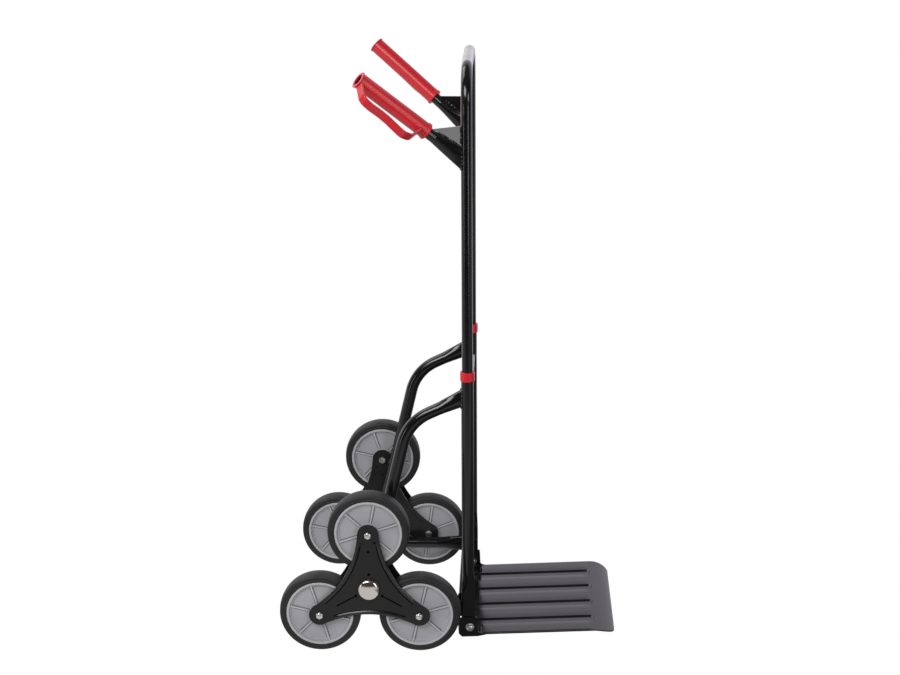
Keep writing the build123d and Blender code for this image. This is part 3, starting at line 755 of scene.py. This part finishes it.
@dataclass
class SpiderDetail(Detail):
    """What a cluster's outer spider plate carries: bead floors of painted shade, raised lips, domed bolts and the hub
    cap.
    """

    side: Side
    pitch_radius: float = 195.0 / math.sqrt(3.0) * MM
    waist: float = 54.0 * MM
    arm_tip: float = 21.0 * MM
    bead_inset: float = 6.5 * MM
    bead_width: float = 3.0 * MM
    bead_limit: float = 92.0 * MM
    bead_span: float = 0.99
    bead_gap: float = 0.1 * MM
    floor_inset: float = 0.6 * MM
    taper_start: float = 0.25
    taper_rate: float = 6.0
    floor_depths: Pair = (-1.3 * MM, -0.7 * MM)
    flank_turns: tuple[float, ...] = (30.0, 150.0, 270.0)
    crease_turns: Pair = (210.0, 330.0)
    crease_start: float = 33.0 * MM
    crease_end: float = 74.0 * MM
    lip_line: tuple[Pair, ...] = (
        (0.8, -0.3), (0.8, 0.4), (1.4, 0.85), (2.4, 1.2), (3.6, 1.35), (4.5, 1.33), (5.0, 1.17), (7.5, -0.68))
    hole_ring: Pair = (2.1 * MM, 3.0 * MM)
    hole_heights: Pair = (-0.3 * MM, 0.1 * MM)
    hub_holes: float = 30.0 * MM
    tip_holes: tuple[Pair, ...] = ((-12.5 * MM, -16.0 * MM), (12.5 * MM, -16.0 * MM), (0.0, -35.0 * MM))
    cap_radius: float = 21.0 * MM
    cap_corner: float = 5.5 * MM
    cap_wall: float = 4.0 * MM
    cap_crown: float = 18.0
    cap_sheet: float = 1.0 * MM
    dome_radius: float = 6.3 * MM
    dome_height: float = 2.4 * MM
    steps: int = 48
    hole_segments: int = 24
    cap_segments: int = 64

    @property
    def body(self) -> str:
        """Returns: the body that the pieces turn with."""
        return f"{self.side.label}_cluster"

    @property
    def outward(self) -> Vector:
        """Returns: the way out from the truck on this side."""
        return Vector((0.0, float(self.side.value), 0.0))

    @cached_property
    def hub(self) -> Vector:
        """Returns: where the axle's line crosses the plate's outer face."""
        low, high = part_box("axle")
        plate_low, plate_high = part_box(f"{self.side.label}_outer_spider")
        return Vector(((low[0] + high[0]) / 2, self.side.outer(plate_low, plate_high), (low[2] + high[2]) / 2))

    def build(self) -> None:
        """Make the pieces of one side."""
        self._floors()
        self._lips()
        self._domes()
        self._cap()

    def _flank(self, turn: float, profile: Sequence[Pair]) -> list[list[Vector]]:
        """Carry a profile along one hollow flank.

        Args:
            turn: The flank's direction in degrees.
            profile: Points as distance from the flank's edge and height over the plate.

        Returns:
            Sections from one end to the other.
        """
        slack = self.waist - self.arm_tip
        far = (self.pitch_radius**2 - slack**2) / (self.pitch_radius - 2 * slack)
        radius = far - self.waist
        middle = radius + self.bead_inset + self.bead_width / 2
        half = math.acos((far**2 + middle**2 - self.bead_limit**2) / (2 * far * middle))
        way = math.radians(turn)
        centre = self.hub + polar(way) * far
        sections = []
        for step in range(self.steps + 1):
            share = 2.0 * step / self.steps - 1.0
            spoke = polar(way + math.pi + half * share * self.bead_span)
            taper = min(1.0, self.taper_start + self.taper_rate * (1.0 - abs(share)))
            heights = [height * taper if height > 0.0 else height for _, height in profile]
            sections.append([centre + spoke * (radius + inset) + self.outward * height
                             for (inset, _), height in zip(profile, heights)])
        return sections

    def _floors(self) -> None:
        """Make the painted shade: dark floors in the beads and creases, and dark rims round the small holes."""
        shape = Shape()
        low, high = self.floor_depths
        inner, outer = self.bead_inset + self.floor_inset, self.bead_inset + self.bead_width - self.bead_gap
        # strips of painted shade on the floors of the flank beads and the creases
        for turn in self.flank_turns:
            shape.join(self._flank(turn, [(inner, low), (outer, low), (outer, high), (inner, high)]))
        half = self.bead_width / 2 - self.bead_gap
        bends = [math.radians(angle) for angle in range(0, 181, 30)]
        outline = [(self.crease_start + half - half * math.sin(bend), half * math.cos(bend)) for bend in bends]
        outline += [(self.crease_end - half + half * math.sin(bend), -half * math.cos(bend)) for bend in bends]
        for turn in self.crease_turns:
            along, across = polar(math.radians(turn)), polar(math.radians(turn + 90.0))
            line = [self.hub + along * run + across * wide for run, wide in outline]
            shape.join([[point + self.outward * depth for point in line] for depth in (low, high)])
        # dark rings of painted shade round the small holes
        near, far = self.hole_ring
        root, top = self.hole_heights
        spots = [polar(math.radians(arm.value)) * self.hub_holes for arm in Arm]
        spots += [Vector((across, 0.0, self.pitch_radius + rise)) for across, rise in self.tip_holes]
        rim = [(near, root), (far, root), (far, top), (near, top)]
        for spot in spots:
            shape.lathe(rim, self.hub + spot, self.hole_segments, self.side.value)
        self.add(f"{self.side.label}_bead_floors", shape, self.body, "spider_paint", ["bead_shade"])

    def _lips(self) -> None:
        """Make the raised lips beside the beads."""
        shape = Shape()
        profile = [(inset * MM, height * MM) for inset, height in self.lip_line]
        for turn in self.flank_turns:
            shape.join(self._flank(turn, profile))
        self.add(f"{self.side.label}_bead_lips", shape, self.body, "spider_paint", ["lip_paint"])

    def _domes(self) -> None:
        """Make the round crowns of the wheel bolts."""
        low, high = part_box(f"{self.side.label}_wheel_bolts")
        shape = Shape()
        for arm in Arm:
            spot = self.hub + polar(math.radians(arm.value)) * self.pitch_radius
            spot.y = self.side.outer(low, high)
            shape.dome(spot, self.side, self.dome_radius, self.dome_height)
        self.add(f"{self.side.label}_bolt_domes", shape, self.body, "bright_steel")

    def _cap(self) -> None:
        """Make the hub cap's skin."""
        shape = Shape()
        outline = self._cap_line(0.0) + self._cap_line(self.cap_sheet)[::-1]
        shape.lathe(outline, self.hub, self.cap_segments, self.side.value)
        node = f"{self.side.label}_hub_cap"
        self.add(f"{node}_skin", shape, self.body, "chrome", stands_for=[node])

    def _cap_line(self, inset: float) -> list[Pair]:
        """The hub cap's profile: a short wall, a round corner and a shallow crown.

        Args:
            inset: How far inside the outer face it lies.

        Returns:
            Points as radius and height over the plate, from the plate to the axle's line.
        """
        bend = self.cap_corner
        middle = self.cap_radius - bend
        crown = math.radians(self.cap_crown)
        edge = middle + bend * math.sin(crown)
        sphere = edge / math.sin(crown)
        base = self.cap_wall + bend * math.cos(crown) - sphere * math.cos(crown)
        line = [(self.cap_radius - inset, 0.0)]
        corner_steps, crown_steps = 8, 12
        for step in range(corner_steps + 1):
            turn = (math.pi / 2 - crown) * step / corner_steps
            line.append((middle + (bend - inset) * math.cos(turn), self.cap_wall + (bend - inset) * math.sin(turn)))
        for step in range(1, crown_steps + 1):
            turn = crown * (1.0 - step / crown_steps)
            line.append((max(AXIS_GAP, (sphere - inset) * math.sin(turn)), base + (sphere - inset) * math.cos(turn)))
        return line


@dataclass
class WeldBead(Detail):
    """A rippled bead of weld along a line."""

    name: str
    body: str
    radius: float = 1.8 * MM
    ripple: float = 0.22
    pitch: float = 2.6 * MM
    step: float = 0.8 * MM
    sides: int = 8
    drift: float = 0.18
    drift_rates: Pair = (0.37, 0.11)
    steep: float = 0.98
    end_size: float = 0.35
    end_growth: float = 0.3

    def build(self, lines: Lines) -> None:
        """Make one piece of all the given lines.

        Args:
            lines: Points of each line, and whether it is closed.
        """
        shape = Shape()
        for points, closed in lines:
            shape.join(self._rings(self._even(points, closed), closed), closed)
        self.add(self.name, shape, self.body, "frame_paint")

    def _even(self, points: Sequence[Vector], closed: bool) -> list[Vector]:
        """Args: points: A line's corners. closed: Whether it is a loop. Returns: points about one step apart."""
        corners = list(points) + ([points[0]] if closed else [])
        even = []
        for first, second in zip(corners, corners[1:]):
            pieces = max(1, round((second - first).length / self.step))
            even += [first.lerp(second, index / pieces) for index in range(pieces)]
        return even if closed else even + [corners[-1]]

    def _rings(self, points: Sequence[Vector], closed: bool) -> list[list[Vector]]:
        """Args: points: Even points of a bead. closed: Whether it is a loop. Returns: a ring of points round each."""
        count = len(points)
        rings = []
        travelled = 0.0
        for index, point in enumerate(points):
            before = points[index - 1] if closed or index else point
            after = points[(index + 1) % count] if closed or index < count - 1 else point
            heading = (after - before).normalized()
            first = heading.orthogonal() if abs(heading.z) > self.steep else heading.cross(UP)
            first = first.normalized()
            swell = 1.0 + self.ripple * math.sin(2 * math.pi * travelled / self.pitch)
            slow, slower = self.drift_rates
            swell *= 1.0 + self.drift * math.sin(travelled / self.radius * slow + index * slower)
            if not closed:
                swell *= min(1.0, self.end_size + self.end_growth * min(index, count - 1 - index))
            reach = self.radius * swell
            rings.append(ring_points(point, first * reach, heading.cross(first) * reach, self.sides))
            travelled += (after - point).length
        return rings


def slot_on_tube(start: Vector, heading: Vector, half_height: float, half_width: float, radius: float,
                 steps: int = 40) -> list[Vector]:
    """Where a slot-shaped bar meets an upright tube.

    Args:
        start: Where the bar's axis meets the tube's axis.
        heading: The bar's direction.
        half_height: Half the slot's length, square to the bar in the upright plane.
        half_width: Half the slot's width.
        radius: The tube's radius.
        steps: Points round the slot.

    Returns:
        Points on the tube's surface.
    """
    level = Vector((heading.x, heading.y, 0.0))
    run = level.length
    level.normalize()
    across = level.cross(UP)
    rise = across.cross(heading)
    points = []
    for step in range(steps):
        angle = 2 * math.pi * step / steps
        wide = half_width * math.cos(angle)
        tall = half_width * math.sin(angle) + math.copysign(half_height - half_width, math.sin(angle))
        depth = math.sqrt(radius**2 - wide**2) - tall * rise.dot(level)
        points.append(start + across * wide + rise * tall + heading * (depth / run))
    return points


def ring_points(centre: Vector, first: Vector, second: Vector, steps: int = 32) -> list[Vector]:
    """Args: centre: An ellipse's middle. first, second: Its half axes. steps: How many. Returns: its points."""
    turns = [2 * math.pi * step / steps for step in range(steps)]
    return [centre + first * math.cos(turn) + second * math.sin(turn) for turn in turns]


@dataclass
class FrameWelds(Detail):
    """The weld beads of the lower and upper frame."""

    upright_x: float = 38.6 * MM
    frame_y: float = 163.0 * MM
    lower_radius: float = 12.0 * MM
    upper_radius: float = 10.5 * MM
    arm_top: float = 510.0 * MM
    arm_rise: Pair = (114.8, 54.0)
    arm_slot: Pair = (17.3 * MM, 4.8 * MM)
    handle_root: float = 965.0 * MM
    handle_run: Triple = (-192.0, 66.0, 162.5)
    handle_slot: Pair = (17.2 * MM, 4.4 * MM)
    handle_flat: float = 18.0 * MM
    handle_round: float = 11.0 * MM
    handle_flare: float = 80.0 * MM
    gusset_half: float = 1.5 * MM
    gusset_gaps: Pair = (6.0 * MM, 1.0 * MM)
    seam: Pair = (16.0 * MM, 79.0 * MM)
    seam_steps: int = 13

    def build(self) -> None:
        """Make the beads of both frames."""
        lower, upper = [], []
        for side in Side:
            lower += self._lower_lines(side)
            upper += self._upper_lines(side)
        WeldBead(self.materials, "lower_frame_welds", "lower_frame").build(lower)
        coarse = WeldBead(self.materials, "upper_frame_welds", "upper_frame", 2.3 * MM, ripple=0.34, pitch=3.6 * MM)
        coarse.build(upper)

    def _lower_lines(self, side: Side) -> Lines:
        """Args: side: Which side. Returns: the lines on that side's upright and foot."""
        y = side.value * self.frame_y
        root = Vector((self.upright_x, y, self.arm_top))
        heading = -Vector((self.arm_rise[0], 0.0, self.arm_rise[1])).normalized()
        lines = [(slot_on_tube(root, heading, *self.arm_slot, self.lower_radius), True)]
        brace_low, brace_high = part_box("upper_cross_tube")
        brace = Vector((self.upright_x, y, (brace_low[2] + brace_high[2]) / 2))
        half = (brace_high[2] - brace_low[2]) / 2
        lines.append((slot_on_tube(brace, Vector((0.0, -side.value, 0.0)), half, half, self.lower_radius), True))
        cross_low, cross_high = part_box("lower_cross_tube")
        middle = (Vector(cross_low) + Vector(cross_high)) / 2
        middle.y = side.value * cross_high[1]
        reach = (cross_high[2] - cross_low[2]) / 2
        lines.append((ring_points(middle, Vector((reach, 0.0, 0.0)), Vector((0.0, 0.0, reach))), True))
        return lines

    def _upper_lines(self, side: Side) -> Lines:
        """Args: side: Which side. Returns: the lines where that side's handle and gusset meet the tube."""
        root = Vector((self.upright_x, side.value * self.frame_y, self.handle_root))
        run = Vector(self.handle_run)
        heading = Vector((run.x, side.value * run.y, run.z)).normalized()
        lines = [(slot_on_tube(root, heading, *self.handle_slot, self.upper_radius), True)]
        gusset_low, gusset_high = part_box(f"{side.label}_gusset")
        outward = Vector((heading.x, heading.y, 0.0)).normalized()
        across = outward.cross(UP)
        on_tube = Vector((root.x, root.y, 0.0)) + outward * self.upper_radius
        rise = across.cross(heading)
        for way in (1.0, -1.0):
            shift = across * (way * self.gusset_half)
            seam = []
            for step in range(self.seam_steps + 1):
                reach = self.seam[0] + (self.seam[1] - self.seam[0]) * step / self.seam_steps
                height = self.handle_flat + (self.handle_round - self.handle_flat) * reach / self.handle_flare
                seam.append(root + heading * reach + rise * height + shift)
            lines.append((seam, False))
            levels = (gusset_low[2] + self.gusset_gaps[0], gusset_high[2] - self.gusset_gaps[1])
            lines.append(([on_tube + shift + UP * level for level in levels], False))
        return lines


@dataclass
class HingeCrowns(Detail):
    """The round crowns of the two hinge bolts."""

    radius: float = 6.0 * MM
    height: float = 2.6 * MM

    def build(self) -> None:
        """Add both crowns as one piece."""
        low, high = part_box("hinge_bolts")
        shape = Shape()
        for side in Side:
            spot = Vector(((low[0] + high[0]) / 2, side.outer(low, high), (low[2] + high[2]) / 2))
            shape.dome(spot, side, self.radius, self.height)
        self.add("hinge_crowns", shape, "lower_frame", "bright_steel")


@dataclass
class PlateCrowns(Detail):
    """The strips of the toe plate beside its channels, which the pressing leaves gently rounded."""

    hinge: tuple[Sequence[float], Sequence[float]]
    tilt: float = 2.6
    drop: float = 15.0 * MM
    rows: tuple[float, ...] = (-111.0 * MM, -37.0 * MM, 37.0 * MM, 111.0 * MM)
    channel_half: float = 13.0 * MM
    outer_edge: float = 165.5 * MM
    inner_rear: float = 0.0
    outer_rear: float = 16.0 * MM
    front: float = 245.0 * MM
    shoulder: float = 19.0 * MM
    outer_shoulder: float = 3.0 * MM
    rear_run: float = 10.0 * MM
    front_run: float = 13.0 * MM
    slope: float = 6.0
    root: float = 0.3 * MM
    sink: float = 0.03 * MM
    steps: int = 6

    def build(self) -> None:
        """Add all strips as one piece."""
        edges = [-self.outer_edge]
        for row in self.rows:
            edges += [row - self.channel_half, row + self.channel_half]
        edges.append(self.outer_edge)
        shape = Shape()
        for right, left in zip(edges[::2], edges[1::2]):
            shape.join(self._strip(right, left))
        self.add("plate_crowns", shape, "toe_plate", "frame_paint")

    def _strip(self, right: float, left: float) -> list[list[Vector]]:
        """Work out a strip's cross sections from its rear to its front.

        Args:
            right: The strip's right edge.
            left: Its left edge.

        Returns:
            The sections, each from the right edge over the crown to the left edge and back below.
        """
        runs = [self.outer_shoulder if abs(edge) == self.outer_edge else self.shoulder for edge in (right, left)]
        rear = self.inner_rear if runs[0] == runs[1] else self.outer_rear
        rise = math.tan(math.radians(self.slope)) * self.shoulder / 2
        steps = [step / self.steps for step in range(self.steps + 1)]
        across = [right + runs[0] * step for step in steps] + [left - runs[1] * step for step in reversed(steps)]
        along = [rear + self.rear_run * step for step in steps]
        along += [self.front - self.front_run * step for step in reversed(steps)]
        sections = []
        for forward in along:
            scale = rise * self._ease((forward - rear) / self.rear_run)
            scale *= self._ease((self.front - forward) / self.front_run)
            section = []
            for place in across:
                swell = self._ease((place - right) / runs[0]) * self._ease((left - place) / runs[1])
                section.append(self._point(forward, place, scale * swell - self.sink))
            section += [self._point(forward, left, -self.root), self._point(forward, right, -self.root)]
            sections.append(section)
        return sections

    def _point(self, forward: float, across: float, height: float) -> Vector:
        """Args: forward: From the hinge, along the plate. across: Y. height: Over its top. Returns: the point."""
        low, high = self.hinge
        turn = math.radians(self.tilt)
        up = height - self.drop
        return Vector(((low[0] + high[0]) / 2 + forward * math.cos(turn) - up * math.sin(turn), across,
                       (low[2] + high[2]) / 2 + forward * math.sin(turn) + up * math.cos(turn)))

    @staticmethod
    def _ease(part: float) -> float:
        """Args: part: How far along a rise it is. Returns: the height, which levels out from 0 to 1."""
        return 1.0 - (1.0 - min(max(part, 0.0), 1.0)) ** 2


RIB_TURNS = {  # degrees, as the photo shows each wheel at rest
    (Side.RIGHT, Arm.TOP): 18.5, (Side.RIGHT, Arm.REAR): 46.5, (Side.RIGHT, Arm.FRONT): 17.0,
    (Side.LEFT, Arm.TOP): 48.0, (Side.LEFT, Arm.REAR): 50.0, (Side.LEFT, Arm.FRONT): 22.0,
}


def main() -> None:
    """Build the scene."""
    logging.basicConfig(level=logging.INFO, format="%(name)s: %(message)s")
    effects = Effects()
    materials = {slot: finish.build(effects) for slot, finish in FINISHES.items()}
    dress_nodes(materials)
    for (side, arm), turn in RIB_TURNS.items():
        Wheel(materials, side, arm, turn).build()
    for side in Side:
        SpiderDetail(materials, side).build()
    FrameWelds(materials).build()
    HingeCrowns(materials).build()
    PlateCrowns(materials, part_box("hinge_bolts")).build()
    Studio().build()


if __name__ == "__main__":
    main()
